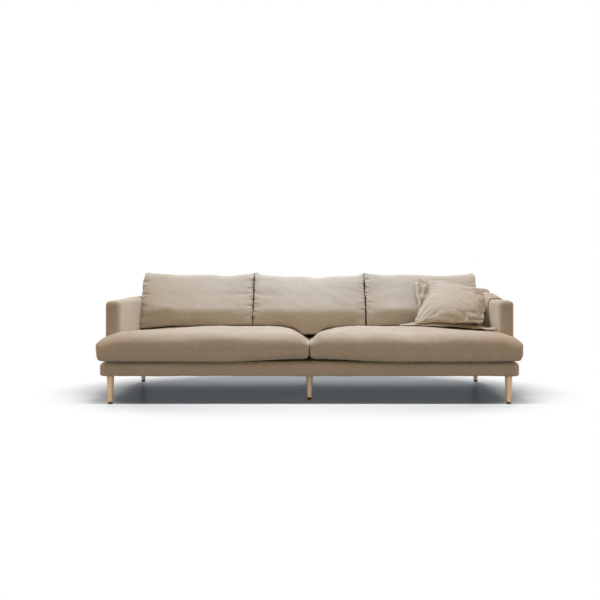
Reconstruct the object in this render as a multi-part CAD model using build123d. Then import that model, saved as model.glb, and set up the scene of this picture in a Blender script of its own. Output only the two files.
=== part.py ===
from build123d import *
import os
from math import atan, cos, sin, tan, pi

os.makedirs("parts", exist_ok=True)

# A three-seat sofa. Millimetres: X runs along the seat, the front is at -Y, Z is up, and the
# origin is on the floor under the middle of the whole sofa.

# ---------------------------------------------------------------- driving dimensions
SOFA_DEPTH = 980
BASE_WIDTH = 2500
BASE_BOTTOM = 178
BASE_HEIGHT = 84
SEAT_OVERHANG = 30  # how far the seat cushions stand in front of the base
EAR_OVERHANG = 25  # how far their ears stand out beside the base

CLOTH = 2  # a cover with its lining
FIT = 0.3  # between curved faces that lie on each other
SOFT_GAP = 1  # between loose cushions and what they lie against

BASE_PLAN_RADIUS = 36
BASE_TOP_RADIUS = 30
BASE_UNDER_RADIUS = 10
EDGE_FOAM = 10  # on the outside and the top of the rails
TOP_TURN_IN = 100  # how far the border's cloth turns in over the rails
UNDER_TURN_IN = 80  # and under them

RAIL_THICKNESS = 22
RAIL_HEIGHT = 70
RAIL_END_CHAMFER = 18
CENTRE_RAIL_WIDTH = 64
CENTRE_RAIL_HEIGHT = 45
CORNER_BLOCK_LEG = 120
CORNER_BLOCK_HEIGHT = 60

SPRING_COUNT = 10
SPRING_PITCH = 235
SPRING_WIRE = 4
SPRING_HALF_WIDTH = 27
SPRING_BENDS = 12
CLIP_SHEET = 1.5
CLIP_WIDTH = 20
CLIP_SEAT = 14  # width of the strip of rail top that is left bare for the clips

LEG_TOP_RADIUS = 22.5
LEG_FOOT_RADIUS = 14
LEG_INSET_SIDE = 45
LEG_INSET_FRONT = 60
LEG_INSET_BACK = 81
CENTRE_LEG_SETBACK = 204
LEG_TOP_EASE = 3
GLIDE_HEIGHT = 14
GLIDE_EASE = 1.5
GLIDE_NAIL = 14
LEG_PLATE = 60
LEG_PLATE_CORNER = 6
LEG_PLATE_SHEET = 2.5
PLATE_SCREW_OFFSET = 22
SCREW_RADIUS = 2
SCREW_HEAD_RADIUS = 4
SCREW_LENGTH = 25
BOLT_RADIUS = 4
BOLT_HEAD_RADIUS = 7
BOLT_HEAD = 6
BORE_CLEARANCE = 0.3
HANGER_IN_LEG = 36
HANGER_IN_BLOCK = 38

ARM_WIDTH = 85
ARM_TOP = 617
ARM_SETBACK = 114  # from the base's front to the arm's front
ARM_CORNER_RADIUS = 26
ARM_TOP_RADIUS = 22
ARM_UNDER_RADIUS = 6
ARM_FRAME_THICKNESS = 45
ARM_FRAME_END_FOAM = 30
ARM_FRAME_TOP_FOAM = 32
ARM_POST = 60
ARM_BOARD = 3
TIMBER = 45

BACK_TOP = 617
BACK_FOOT_DEPTH = 140
BACK_TOP_DEPTH = 90
BACK_TOP_RADIUS = 22
BACK_FRAME_DEPTH = 40
BACK_FRAME_TOP_FOAM = 27
BACK_UPRIGHTS = 5
WEBBING = 2
WEBBING_WIDTH = 50
WEBBING_COLUMNS = 12
WEBBING_ROWS = 3

SEAT_BOTTOM_GAP = 2
SEAT_CROWN = 448  # highest point of a seat cushion
CROWN_SETBACK = 410  # from its front to that point
SEAT_REAR = 418  # where the back cushions stand
SEAT_REAR_FLAT = 28
EAR_DEPTH = 136
PLAN_TRIM = 0.6  # how far the outline seen from above cuts into the two side views
SEAT_FRONT_CORNER = 36
SEAT_REAR_CORNER = 14
SEAT_EAR_TOP = 399
SEAT_EAR_RADIUS = 58
SEAT_EAR_UNDER_RADIUS = 56
SEAT_JOINT_UNDER_RADIUS = 32
SEAT_FRONT_UNDER_RADIUS = 36
SEAT_REAR_UNDER_RADIUS = 20
SEAT_REAR_TOP_RADIUS = 22
# Points of the seat's front view: (from the middle joint, below the crown).
SEAT_SHOULDER = (205, 2)
SEAT_SHOULDER_BEND = (62, 37)
SEAT_JOINT_DROP = 84
# Points of its side view: (behind the front, below the crown).
SEAT_BOW = (215, 14)
SEAT_ROLL = (35, 58)
SEAT_NOSE = (8, 86)
SEAT_FACE_DROP = 120

BACK_CUSHION_CORNER = 780
BACK_CUSHION_SAG = 24
BACK_CUSHION_BELLY = 280  # depth at the belly
BACK_CUSHION_TOP = 130  # depth at the top
BELLY_HEIGHT = 126  # above the seat
BELLY_HALF_HEIGHT = 25  # of its upright part
BELLY_BEND = (26, 38.5)  # (behind the belly, above the seat)
BELLY_UNDER = 82  # from the belly to where the underside meets the seat
BELLY_SIDE = 54  # how far the side seams stand behind the belly
BELLY_BOW = 4
BACK_CUSHION_BROW = 18
BACK_CUSHION_SLOPE = (112, 114)  # (before the brow, below the corners)
BACK_CUSHION_TOP_RADIUS = 26
BACK_CUSHION_FOOT_CORNER = 30
BACK_CUSHION_TOP_CORNER = 14

ZIP_TAPE = 1
ZIP_TEETH_WIDTH = 4
ZIP_TEETH_HEIGHT = 1.4
SEAT_ZIP_WIDTH = 24
BACK_ZIP_WIDTH = 14
ZIP_END = 60  # from the cushion's side to the end of its zip
SLIDER_LENGTH = 10
SLIDER_WIDTH = 7
SLIDER_SHEET = 0.8
SLIDER_CLEARANCE = 0.4
PULL_LENGTH = 16
PULL_WIDTH = 4
PULL_SHEET = 1.2

SCATTER_SIZE = 425
SCATTER_FRONT_BULGE = 70
SCATTER_REAR_BULGE = 52
SCATTER_EDGE = 6
SCATTER_SIDE_SAG = 20
SCATTER_BEFORE_BACK = 91  # from its middle to the back cushion's belly
SCATTER_HEIGHT = 134  # of its middle above the seat's crown
SCATTER_YAW = -6.7
SCATTER_LEAN = 39
SCATTER_ROLL = -7.6

THROW = 4
THROW_GAP = 0.5
THROW_SEAT_WIDTH = 545  # from the arm
THROW_HEM_LEFT = 141  # how far its hem lies before the back cushion's belly
THROW_HEM_RIGHT = 16  # and, beside the arm, behind the arm's front
THROW_BACK_NEAR = 35  # from the arm to the part that goes up the back cushion
THROW_BACK_FAR = 450
THROW_BACK_DROP = 40  # from the back cushion's corners down to its upper hem
THROW_ARM_FRONT = 256  # behind the arm's front
THROW_ARM_WIDTH = 215
THROW_ARM_RISE = 20
THROW_ARM_DROP = 200

# ---------------------------------------------------------------- places that follow
front_y = -SOFA_DEPTH / 2
back_y = SOFA_DEPTH / 2
half = BASE_WIDTH / 2
base_front = front_y + SEAT_OVERHANG
base_top = BASE_BOTTOM + BASE_HEIGHT

rail_out = half - CLOTH - EDGE_FOAM
rail_in = rail_out - RAIL_THICKNESS
rail_front_out = base_front + CLOTH + EDGE_FOAM
rail_front_in = rail_front_out + RAIL_THICKNESS
rail_back_out = back_y - CLOTH - EDGE_FOAM
rail_back_in = rail_back_out - RAIL_THICKNESS
rail_bottom = BASE_BOTTOM + CLOTH
rail_top = rail_bottom + RAIL_HEIGHT
wire_bottom = rail_top + CLIP_SHEET
wire_top = wire_bottom + SPRING_WIRE
deck_top = base_top - CLOTH

plate_bottom = BASE_BOTTOM - LEG_PLATE_SHEET
leg_x = half - LEG_INSET_SIDE
leg_front_y = base_front + LEG_INSET_FRONT
leg_back_y = back_y - LEG_INSET_BACK
LEGS = {
    "leg_front_left": (-leg_x, leg_front_y),
    "leg_front_centre": (0, base_front + CENTRE_LEG_SETBACK),
    "leg_front_right": (leg_x, leg_front_y),
    "leg_back_left": (-leg_x, leg_back_y),
    "leg_back_centre": (0, leg_back_y),
    "leg_back_right": (leg_x, leg_back_y),
}

arm_in = half - ARM_WIDTH
arm_front = base_front + ARM_SETBACK
arm_frame_out = rail_out
arm_frame_in = arm_frame_out - ARM_FRAME_THICKNESS
arm_frame_front = arm_front + ARM_FRAME_END_FOAM
arm_frame_back = back_y - CLOTH - EDGE_FOAM
arm_frame_top = ARM_TOP - ARM_FRAME_TOP_FOAM

back_half = arm_in - SOFT_GAP
back_foot = back_y - BACK_FOOT_DEPTH
back_brow = back_y - BACK_TOP_DEPTH
recline = atan((back_brow - back_foot) / (BACK_TOP - base_top))
back_frame_back = back_y - CLOTH - EDGE_FOAM
back_frame_front = back_frame_back - BACK_FRAME_DEPTH
back_frame_half = back_half - CLOTH - EDGE_FOAM
back_frame_top = BACK_TOP - BACK_FRAME_TOP_FOAM
webbing_front = back_frame_front - 2 * WEBBING

# The bolts that hold the arms and the back down: (x, y), from under the rails.
bolt_x = (rail_in + rail_out) / 2
bolt_y = (rail_back_in + rail_back_out) / 2
ARM_BOLTS = [
    (side * bolt_x, y)
    for side in (-1, 1)
    for y in (arm_frame_front + ARM_POST + TIMBER / 2, 0, arm_frame_back - 3 * TIMBER)
]
BACK_BOLTS = [(k * SPRING_PITCH, bolt_y) for k in (-4, -1, 1, 4)]

seat_inner = SOFT_GAP
seat_outer = arm_in - 3 * SOFT_GAP
seat_ear = half + EAR_OVERHANG
seat_bottom = base_top + SEAT_BOTTOM_GAP
seat_ear_back = front_y + EAR_DEPTH
seat_back = back_foot - 3 * SOFT_GAP

crown_y = front_y + CROWN_SETBACK
seat_rear_edge = seat_back - SEAT_REAR_FLAT
seat_fall = (SEAT_CROWN - SEAT_REAR) / (seat_rear_edge - crown_y)

cushion_bottom = SEAT_REAR + SOFT_GAP
cushion_width = (2 * arm_in - 4 * SOFT_GAP) / 3
CUSHIONS = {
    "left": -cushion_width - SOFT_GAP,
    "centre": 0.0,
    "right": cushion_width + SOFT_GAP,
}


# ---------------------------------------------------------------- small helpers
def block(x0, x1, y0, y1, z0, z1):
    """A box between two corners."""
    centre = Pos((x0 + x1) / 2, (y0 + y1) / 2, (z0 + z1) / 2)
    return centre * Box(x1 - x0, y1 - y0, z1 - z0)


def upright(x, y, z0, z1, radius):
    """A vertical cylinder between two heights."""
    return Pos(x, y, (z0 + z1) / 2) * Cylinder(radius, z1 - z0)


def group(solids):
    """Separate solids that share one node."""
    return Compound(children=list(solids))


def mirrored(shape):
    """The left-hand copy of a right-hand piece."""
    return mirror(shape, about=Plane.YZ)


def outline(*edges):
    """The flat face that a closed run of edges bounds."""
    return make_face(Curve() + list(edges))


def round_corner(face, x, y, radius):
    """A flat face with the corner nearest to a point rounded."""
    corner = min(face.vertices(), key=lambda v: (v.X - x) ** 2 + (v.Y - y) ** 2)
    return fillet(corner, radius)


def swell(face, grow, kind=Kind.ARC):
    """A face grown, or shrunk, by the same amount all round."""
    if grow == 0:
        return face
    return offset(face, amount=grow, kind=kind)


def rounded_block(x0, x1, y0, y1, z0, z1, plan_radius, top_radius, under_radius):
    """A padded block: rounded upright edges, then the rolls at its top and bottom."""
    body = block(x0, x1, y0, y1, z0, z1)
    body = fillet(body.edges().filter_by(Axis.Z), plan_radius)
    body = fillet(body.faces().sort_by(Axis.Z)[-1].edges(), top_radius)
    return fillet(body.faces().sort_by(Axis.Z)[0].edges(), under_radius)


def save(name, shape):
    export_step(shape, f"parts/{name}.step")


# ---------------------------------------------------------------- base
def base_block(inset):
    """The border's outer shape, or that shape with an even layer taken off."""
    return rounded_block(
        -half + inset, half - inset, base_front + inset, back_y - inset,
        BASE_BOTTOM + inset, base_top - inset,
        BASE_PLAN_RADIUS - inset, BASE_TOP_RADIUS - inset, BASE_UNDER_RADIUS - inset,
    )


def frame_bolt_holes():
    """Bores for the bolts of the arms and the back, with the recesses of their heads."""
    holes = []
    for x, y in ARM_BOLTS + BACK_BOLTS:
        recess_top = rail_bottom + BOLT_HEAD + 3
        holes.append(upright(x, y, rail_bottom, recess_top, BOLT_HEAD_RADIUS + 1))
        holes.append(upright(x, y, recess_top - 1, base_top + TIMBER + 1, BOLT_RADIUS + BORE_CLEARANCE))
    return holes


def plate_screw_places():
    for x, y in LEGS.values():
        for dx in (-PLATE_SCREW_OFFSET, PLATE_SCREW_OFFSET):
            for dy in (-PLATE_SCREW_OFFSET, PLATE_SCREW_OFFSET):
                yield x + dx, y + dy


def leg_fixing_holes():
    """Bores for the hanger bolts of the legs and for the screws of their plates."""
    holes = [
        upright(x, y, plate_bottom - 1, rail_bottom + HANGER_IN_BLOCK + 1, BOLT_RADIUS + BORE_CLEARANCE)
        for x, y in LEGS.values()
    ]
    holes += [
        upright(x, y, plate_bottom - 1, plate_bottom + SCREW_LENGTH + 1, SCREW_RADIUS + BORE_CLEARANCE)
        for x, y in plate_screw_places()
    ]
    return holes


def rail_ring(z0, z1):
    """The box that the rails fill, with its upright corners taken off."""
    ring = block(-rail_out, rail_out, rail_front_out, rail_back_out, z0, z1)
    return chamfer(ring.edges().filter_by(Axis.Z), RAIL_END_CHAMFER)


def base_rails():
    bolt_holes = frame_bolt_holes()
    leg_holes = leg_fixing_holes()
    ring = rail_ring(rail_bottom, rail_top)
    save("base_front_rail", ring & block(-half, half, base_front, rail_front_in, 0, base_top))
    back = ring & block(-half, half, rail_back_in, back_y, 0, base_top)
    save("base_back_rail", back - bolt_holes)
    side = block(rail_in, rail_out, rail_front_in, rail_back_in, rail_bottom, rail_top)
    side = side - bolt_holes - leg_holes
    save("base_side_rail_right", side)
    save("base_side_rail_left", mirrored(side))
    centre = block(
        -CENTRE_RAIL_WIDTH / 2, CENTRE_RAIL_WIDTH / 2, rail_front_in, rail_back_in,
        rail_bottom, rail_bottom + CENTRE_RAIL_HEIGHT,
    )
    save("base_centre_rail", centre - leg_holes)


def corner_blocks():
    """Four three-cornered blocks glued into the corners of the rails."""
    leg_holes = leg_fixing_holes()
    blocks = []
    for side in (-1, 1):
        for corner_y, inward in ((rail_front_in, 1), (rail_back_in, -1)):
            corner = (side * rail_in, corner_y)
            along = (side * (rail_in - CORNER_BLOCK_LEG), corner_y)
            across = (side * rail_in, corner_y + inward * CORNER_BLOCK_LEG)
            face = make_face(Polyline(corner, along, across, close=True))
            solid = extrude(Pos(0, 0, rail_bottom) * face, CORNER_BLOCK_HEIGHT, dir=(0, 0, 1))
            blocks.append(solid - leg_holes)
    save("corner_blocks", group(blocks))


def base_foam():
    """Dense foam round the outside and over the top of the rails, clear of the clips."""
    foam = base_block(CLOTH + FIT)
    foam -= rail_ring(0, rail_top)
    foam -= block(
        -rail_in, rail_in, rail_front_in - CLIP_SEAT, rail_back_in + CLIP_SEAT,
        rail_top - 1, base_top,
    )
    save("base_foam", foam - frame_bolt_holes())


def deck_opening(z0, z1):
    return block(
        -half + TOP_TURN_IN, half - TOP_TURN_IN, base_front + TOP_TURN_IN, back_y - TOP_TURN_IN,
        z0, z1,
    )


def dust_opening(z0, z1):
    return block(
        -half + UNDER_TURN_IN, half - UNDER_TURN_IN,
        base_front + UNDER_TURN_IN, back_y - UNDER_TURN_IN, z0, z1,
    )


def base_cloth():
    """The border's cover, the deck cloth sewn into it, and the dust cover below."""
    cover = base_block(0) - base_block(CLOTH)
    cover -= deck_opening(deck_top - 1, base_top + 1)
    cover -= dust_opening(BASE_BOTTOM - 1, rail_bottom + 1)
    save("base_cover", cover - frame_bolt_holes() - leg_fixing_holes())
    save("deck_cloth", deck_opening(deck_top, base_top))
    save("dust_cover", dust_opening(BASE_BOTTOM, rail_bottom) - leg_fixing_holes())
    save("deck_pad", block(-rail_in, rail_in, rail_front_in, rail_back_in, wire_top, deck_top))


# ---------------------------------------------------------------- springs
spring_front = rail_front_in - CLIP_SEAT / 2
spring_back = rail_back_in + CLIP_SEAT / 2
spring_bend = (spring_back - spring_front) / SPRING_BENDS


def zigzag_spring(x):
    """One sinuous spring: a wire that snakes from the front clip to the back clip."""
    points = [(x - SPRING_HALF_WIDTH, spring_front)]
    side = 1
    for bend in range(SPRING_BENDS):
        y = spring_front + bend * spring_bend
        points.append((x + side * SPRING_HALF_WIDTH, y))
        points.append((x + side * SPRING_HALF_WIDTH, y + spring_bend))
        side = -side
    points.append((x + side * SPRING_HALF_WIDTH, spring_back))
    line = FilletPolyline(*points, radius=0.96 * min(SPRING_HALF_WIDTH, spring_bend / 2))
    wire = trace(line, SPRING_WIRE)
    return extrude(Pos(0, 0, wire_bottom) * wire, SPRING_WIRE, dir=(0, 0, 1))


def spring_clip(x, y, outward):
    """A folded steel clip: a foot on the rail, a back, and a lip over the wire."""
    depth = CLIP_SEAT - 2
    far = y + outward * depth / 2
    near = y - outward * depth / 2
    wall = far - outward * CLIP_SHEET
    top = wire_top + CLIP_SHEET
    profile = Polyline(
        (near, rail_top), (far, rail_top), (far, top), (near, top),
        (near, wire_top), (wall, wire_top), (wall, wire_bottom), (near, wire_bottom), close=True,
    )
    return Pos(x, 0, 0) * extrude(Plane.YZ * make_face(profile), CLIP_WIDTH / 2, both=True)


def springs():
    wires, clips = [], []
    last_side = 1 if SPRING_BENDS % 2 else -1
    for k in range(SPRING_COUNT):
        x = (k - (SPRING_COUNT - 1) / 2) * SPRING_PITCH
        wires.append(zigzag_spring(x))
        clips.append(spring_clip(x - SPRING_HALF_WIDTH / 2, spring_front, -1))
        clips.append(spring_clip(x - last_side * SPRING_HALF_WIDTH / 2, spring_back, 1))
    save("seat_springs", group(wires))
    save("spring_clips", group(clips))


# ---------------------------------------------------------------- legs
def turned_leg():
    """A straight-tapered round leg with a softened top edge and a bore for its bolt."""
    height = plate_bottom - GLIDE_HEIGHT
    leg = Pos(0, 0, GLIDE_HEIGHT) * Cone(
        LEG_FOOT_RADIUS, LEG_TOP_RADIUS, height, align=(Align.CENTER, Align.CENTER, Align.MIN)
    )
    leg = fillet(leg.edges().sort_by(Axis.Z)[-1], LEG_TOP_EASE)
    leg -= upright(0, 0, plate_bottom - HANGER_IN_LEG - 2, plate_bottom, BOLT_RADIUS + BORE_CLEARANCE)
    return leg - upright(0, 0, GLIDE_HEIGHT, GLIDE_HEIGHT + GLIDE_NAIL + 2, SCREW_RADIUS)


def glide():
    """A dark plastic foot with a nail up into the leg."""
    foot = Cone(
        LEG_FOOT_RADIUS - 1, LEG_FOOT_RADIUS, GLIDE_HEIGHT,
        align=(Align.CENTER, Align.CENTER, Align.MIN),
    )
    foot = fillet(foot.edges().sort_by(Axis.Z)[0], GLIDE_EASE)
    nail_top = GLIDE_HEIGHT + GLIDE_NAIL
    return foot + upright(0, 0, GLIDE_HEIGHT - 1, nail_top, SCREW_RADIUS - BORE_CLEARANCE)


def leg_set():
    plates, glides, hangers, screws = [], [], [], []
    holes = leg_fixing_holes()
    leg = turned_leg()
    foot = glide()
    for name, (x, y) in LEGS.items():
        save(name, Pos(x, y, 0) * leg)
        glides.append(Pos(x, y, 0) * foot)
        reach = LEG_PLATE / 2
        plate = block(x - reach, x + reach, y - reach, y + reach, plate_bottom, BASE_BOTTOM)
        plates.append(fillet(plate.edges().filter_by(Axis.Z), LEG_PLATE_CORNER) - holes)
        hangers.append(
            upright(x, y, plate_bottom - HANGER_IN_LEG, rail_bottom + HANGER_IN_BLOCK, BOLT_RADIUS)
        )
    for x, y in plate_screw_places():
        shank = upright(x, y, plate_bottom - 1, plate_bottom + SCREW_LENGTH, SCREW_RADIUS)
        head = upright(x, y, plate_bottom - 2, plate_bottom, SCREW_HEAD_RADIUS)
        screws.append(shank + head)
    save("leg_glides", group(glides))
    save("leg_plates", group(plates))
    save("leg_bolts", group(hangers))
    save("leg_plate_screws", group(screws))


# ---------------------------------------------------------------- arms
def arm_block(inset):
    """The right arm's outer shape, or that shape with an even layer taken off."""
    return rounded_block(
        arm_in + inset, half - inset, arm_front + inset, back_y - inset,
        base_top + inset, ARM_TOP - inset,
        ARM_CORNER_RADIUS - inset, ARM_TOP_RADIUS - inset, ARM_UNDER_RADIUS - inset,
    )


def arm_core(z0=base_top):
    """The space that the frame of the right arm and its boards take."""
    return block(
        arm_frame_in - ARM_BOARD, arm_frame_out + ARM_BOARD,
        arm_frame_front, arm_frame_back, z0, arm_frame_top,
    )


def arm_windows(x0, x1):
    """The two openings in the frame, each side of its middle post."""
    middle = (arm_frame_front + arm_frame_back) / 2
    spans = (
        (arm_frame_front + ARM_POST, middle - TIMBER / 2),
        (middle + TIMBER / 2, arm_frame_back - ARM_POST),
    )
    return [block(x0, x1, y0, y1, base_top + TIMBER, arm_frame_top - TIMBER) for y0, y1 in spans]


def arms():
    bolt_holes = frame_bolt_holes()
    frame = block(
        arm_frame_in, arm_frame_out, arm_frame_front, arm_frame_back, base_top, arm_frame_top
    )
    frame = frame - arm_windows(arm_frame_in - 1, arm_frame_out + 1) - bolt_holes
    boards = [
        block(x, x + ARM_BOARD, arm_frame_front, arm_frame_back, base_top, arm_frame_top)
        for x in (arm_frame_in - ARM_BOARD, arm_frame_out)
    ]
    foam = arm_block(CLOTH + FIT) - arm_core()
    cover = arm_block(0) - arm_block(CLOTH) - arm_core(base_top - 1)
    for name, piece in (("arm_frame", frame), ("arm_foam", foam), ("arm_cover", cover)):
        save(f"{name}_right", piece)
        save(f"{name}_left", mirrored(piece))
    save("arm_boards", group(boards + [mirrored(board) for board in boards]))


# ---------------------------------------------------------------- back
def back_block(inset):
    """The back's outer shape, or that shape with an even layer taken off."""
    profile = Polyline(
        (back_foot, base_top), (back_y, base_top), (back_y, BACK_TOP), (back_brow, BACK_TOP),
        close=True,
    )
    face = swell(make_face(profile), -inset, Kind.INTERSECTION)
    body = extrude(Plane.YZ * face, back_half - inset, both=True)
    top = body.faces().sort_by(Axis.Z)[-1]
    return fillet(top.edges().filter_by(Axis.X), BACK_TOP_RADIUS - inset)


def back_core(z0=base_top):
    return block(
        -back_frame_half, back_frame_half, webbing_front, back_frame_back, z0, back_frame_top
    )


def back_uprights():
    gap = (2 * back_frame_half - TIMBER) / (BACK_UPRIGHTS - 1)
    for k in range(BACK_UPRIGHTS):
        x = -back_frame_half + k * gap
        yield block(
            x, x + TIMBER, back_frame_front, back_frame_back,
            base_top + TIMBER, back_frame_top - TIMBER,
        )


def back_webbing():
    """Upright straps tacked to the rails, and level straps across their front."""
    straps = []
    z0 = base_top + WEBBING_WIDTH / 4
    z1 = back_frame_top - WEBBING_WIDTH / 4
    pitch = 2 * back_frame_half / WEBBING_COLUMNS
    for k in range(WEBBING_COLUMNS):
        x = -back_frame_half + (k + 0.5) * pitch
        straps.append(
            block(
                x - WEBBING_WIDTH / 2, x + WEBBING_WIDTH / 2,
                back_frame_front - WEBBING, back_frame_front, z0, z1,
            )
        )
    for k in range(WEBBING_ROWS):
        z = z0 + (k + 0.5) * (z1 - z0) / WEBBING_ROWS
        straps.append(
            block(
                -back_frame_half, back_frame_half, webbing_front, back_frame_front - WEBBING,
                z - WEBBING_WIDTH / 2, z + WEBBING_WIDTH / 2,
            )
        )
    return straps


def back():
    rails = []
    for z0 in (base_top, back_frame_top - TIMBER):
        rail = block(
            -back_frame_half, back_frame_half, back_frame_front, back_frame_back, z0, z0 + TIMBER
        )
        rails.append(rail)
    rails[0] = rails[0] - frame_bolt_holes()
    save("back_rails", group(rails))
    save("back_uprights", group(back_uprights()))
    save("back_webbing", group(back_webbing()))
    save("back_foam", back_block(CLOTH + FIT) - back_core())
    save("back_cover", back_block(0) - back_block(CLOTH) - back_core(base_top - 1))


def frame_bolts():
    """Bolts up through the rails into the arms and the back, each with its nut."""
    pieces = []
    for x, y in ARM_BOLTS + BACK_BOLTS:
        head_top = rail_bottom + BOLT_HEAD + 3
        nut_bottom = base_top + TIMBER
        head = Pos(x, y, head_top - BOLT_HEAD) * extrude(RegularPolygon(BOLT_HEAD_RADIUS, 6), BOLT_HEAD)
        shank = upright(x, y, head_top - 1, nut_bottom + BOLT_HEAD + 2, BOLT_RADIUS)
        pieces.append(head + shank)
        nut = Pos(x, y, nut_bottom) * extrude(RegularPolygon(BOLT_HEAD_RADIUS, 6), BOLT_HEAD)
        pieces.append(nut - upright(x, y, nut_bottom - 1, nut_bottom + 9, BOLT_RADIUS + 0.1))
    save("frame_bolts", group(pieces))


# ---------------------------------------------------------------- zips
def zip_tape(length, width):
    """Tape and teeth along X, with the tape's back at z = 0 and the teeth upwards."""
    tape = block(-length / 2, length / 2, -width / 2, width / 2, 0, ZIP_TAPE)
    teeth = block(
        -length / 2, length / 2, -ZIP_TEETH_WIDTH / 2, ZIP_TEETH_WIDTH / 2,
        0, ZIP_TAPE + ZIP_TEETH_HEIGHT,
    )
    return tape + teeth


def zip_slider():
    """A slider that saddles the teeth, and the pull that hangs from it."""
    low = ZIP_TAPE + SLIDER_CLEARANCE
    roof = ZIP_TAPE + ZIP_TEETH_HEIGHT + SLIDER_CLEARANCE
    channel = ZIP_TEETH_WIDTH / 2 + SLIDER_CLEARANCE
    body = block(
        -SLIDER_LENGTH / 2, SLIDER_LENGTH / 2, -channel - SLIDER_SHEET, channel + SLIDER_SHEET,
        low, roof + SLIDER_SHEET,
    )
    return body - block(-SLIDER_LENGTH, SLIDER_LENGTH, -channel, channel, 0, roof)


# ---------------------------------------------------------------- seat cushions
def seat_plan():
    """The T-shaped outline of the right seat cushion, seen from above."""
    line = Polyline(
        (seat_inner, front_y), (seat_ear, front_y), (seat_ear, seat_ear_back),
        (seat_outer, seat_ear_back), (seat_outer, seat_back), (seat_inner, seat_back), close=True,
    )
    face = make_face(line)
    for x in (seat_inner, seat_ear):
        face = round_corner(face, x, front_y, SEAT_FRONT_CORNER)
    for x, y in ((seat_ear, seat_ear_back), (seat_outer, seat_ear_back), (seat_outer, seat_back)):
        face = round_corner(face, x, y, SEAT_REAR_CORNER)
    return round_corner(face, seat_inner, seat_back, SEAT_REAR_CORNER)


def seat_front_view():
    """Right cushion seen from the front: crowned top, and a soft shoulder at the middle joint."""
    inner, outer = seat_inner - PLAN_TRIM, seat_ear + PLAN_TRIM
    shoulder, bend = [
        (seat_inner + along, SEAT_CROWN - down) for along, down in (SEAT_SHOULDER, SEAT_SHOULDER_BEND)
    ]
    joint_z = SEAT_CROWN - SEAT_JOINT_DROP
    face = outline(
        Line((inner, seat_bottom), (outer, seat_bottom)),
        Line((outer, seat_bottom), (outer, SEAT_EAR_TOP)),
        ThreePointArc((outer, SEAT_EAR_TOP), ((inner + outer) / 2, SEAT_CROWN), shoulder),
        ThreePointArc(shoulder, bend, (inner, joint_z)),
        Line((inner, joint_z), (inner, seat_bottom)),
    )
    face = round_corner(face, inner, seat_bottom, SEAT_JOINT_UNDER_RADIUS)
    face = round_corner(face, outer, seat_bottom, SEAT_EAR_UNDER_RADIUS)
    return round_corner(face, outer, SEAT_EAR_TOP, SEAT_EAR_RADIUS)


def seat_side_view():
    """Seat cushion seen from the side: front roll, crown, and a straight fall to the rear."""
    front, rear = front_y - PLAN_TRIM, seat_back + PLAN_TRIM
    bow, roll, nose = [
        (front_y + behind, SEAT_CROWN - down) for behind, down in (SEAT_BOW, SEAT_ROLL, SEAT_NOSE)
    ]
    face_z = SEAT_CROWN - SEAT_FACE_DROP
    face = outline(
        Line((front, seat_bottom), (rear, seat_bottom)),
        Line((rear, seat_bottom), (rear, SEAT_REAR)),
        Line((rear, SEAT_REAR), (seat_rear_edge, SEAT_REAR)),
        Line((seat_rear_edge, SEAT_REAR), (crown_y, SEAT_CROWN)),
        ThreePointArc((crown_y, SEAT_CROWN), bow, roll),
        ThreePointArc(roll, nose, (front, face_z)),
        Line((front, face_z), (front, seat_bottom)),
    )
    face = round_corner(face, front, seat_bottom, SEAT_FRONT_UNDER_RADIUS)
    face = round_corner(face, rear, seat_bottom, SEAT_REAR_UNDER_RADIUS)
    return round_corner(face, rear, SEAT_REAR, SEAT_REAR_TOP_RADIUS)


def seat_cushion(grow):
    """The right seat cushion, where three views meet."""
    plan = extrude(swell(seat_plan(), grow), 2 * SEAT_CROWN, dir=(0, 0, 1))
    front = extrude(Plane.XZ * swell(seat_front_view(), grow), SOFA_DEPTH, both=True)
    side = extrude(Plane.YZ * swell(seat_side_view(), grow), BASE_WIDTH, both=True)
    return plan & front & side


def seat_cushions():
    pad = seat_cushion(-CLOTH - FIT)
    length = seat_outer - seat_inner - 2 * ZIP_END
    middle = (seat_outer + seat_inner) / 2
    height = (seat_bottom + SEAT_REAR) / 2
    slot = block(
        middle - length / 2, middle + length / 2, seat_back - CLOTH - 1, seat_back + 1,
        height - SEAT_ZIP_WIDTH / 2, height + SEAT_ZIP_WIDTH / 2,
    )
    cover = seat_cushion(0) - seat_cushion(-CLOTH) - slot
    seat = Pos(middle, seat_back - CLOTH, height) * Rot(-90, 0, 0)
    tape = seat * zip_tape(length, SEAT_ZIP_WIDTH)
    rest = length / 2 - SLIDER_LENGTH
    roof = ZIP_TAPE + ZIP_TEETH_HEIGHT + SLIDER_CLEARANCE + SLIDER_SHEET
    pull = block(
        -PULL_WIDTH / 2, PULL_WIDTH / 2, 1, 1 + PULL_LENGTH, roof - 0.2, roof - 0.2 + PULL_SHEET
    )
    slider = seat * Pos(rest, 0, 0) * (zip_slider() + pull)
    pieces = {"core": pad, "cover": cover, "zip": tape, "zip_slider": slider}
    for name, piece in pieces.items():
        save(f"seat_{name}_right", piece)
        save(f"seat_{name}_left", mirrored(piece))


# ---------------------------------------------------------------- back cushions
def rear_plane_y(z):
    """Where the rear of a back cushion lies at a height, just off the back's face."""
    return back_foot + tan(recline) * (z - base_top) - SOFT_GAP / cos(recline)


back_cushion_belly = rear_plane_y(cushion_bottom) - BACK_CUSHION_BELLY


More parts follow.
